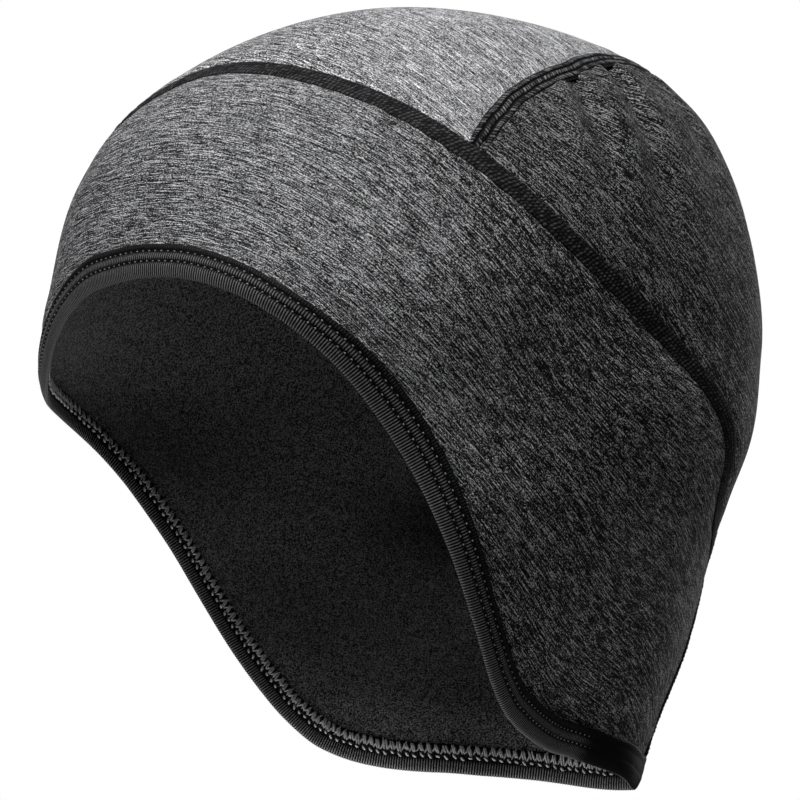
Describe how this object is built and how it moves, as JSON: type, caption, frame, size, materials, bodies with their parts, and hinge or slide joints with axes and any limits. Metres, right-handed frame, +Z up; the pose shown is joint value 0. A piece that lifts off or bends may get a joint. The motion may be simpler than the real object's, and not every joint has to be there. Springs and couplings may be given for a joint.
{
  "type": "skull cap with ear flaps",
  "caption": "Close-fitting thermal skull cap: a band that dips over the ears and nape, a two-panel crown, a folded binding round the edge and a fleece lining.",
  "frame": {"origin": "the inside of the crown at its highest point, where the wearer's head carries the cap", "axes": "+Z up, -Y towards the face, +X towards the wearer's left ear"},
  "size_m": [0.1662, 0.1911, 0.2052],
  "materials": {
    "heather_knit": "matt stretch knit, grey heather streaks",
    "heather_knit_light": "matt stretch knit, lighter grey heather streaks",
    "heather_knit_dark": "matt stretch knit, charcoal heather streaks",
    "seam_thread": "dark flatlock looper thread",
    "brushed_fleece": "black brushed fleece, soft nap",
    "binding_tape": "ribbed elastic binding, slight sheen on the ribs"
  },
  "bodies": {
    "root": {"side_band": "heather_knit", "crown_front": "heather_knit_light", "crown_back": "heather_knit_dark", "crown_seam": "seam_thread", "cross_seam": "seam_thread", "back_seam": "seam_thread", "fleece_lining": "brushed_fleece", "edge_binding": "binding_tape"}
  },
  "joints": []
}
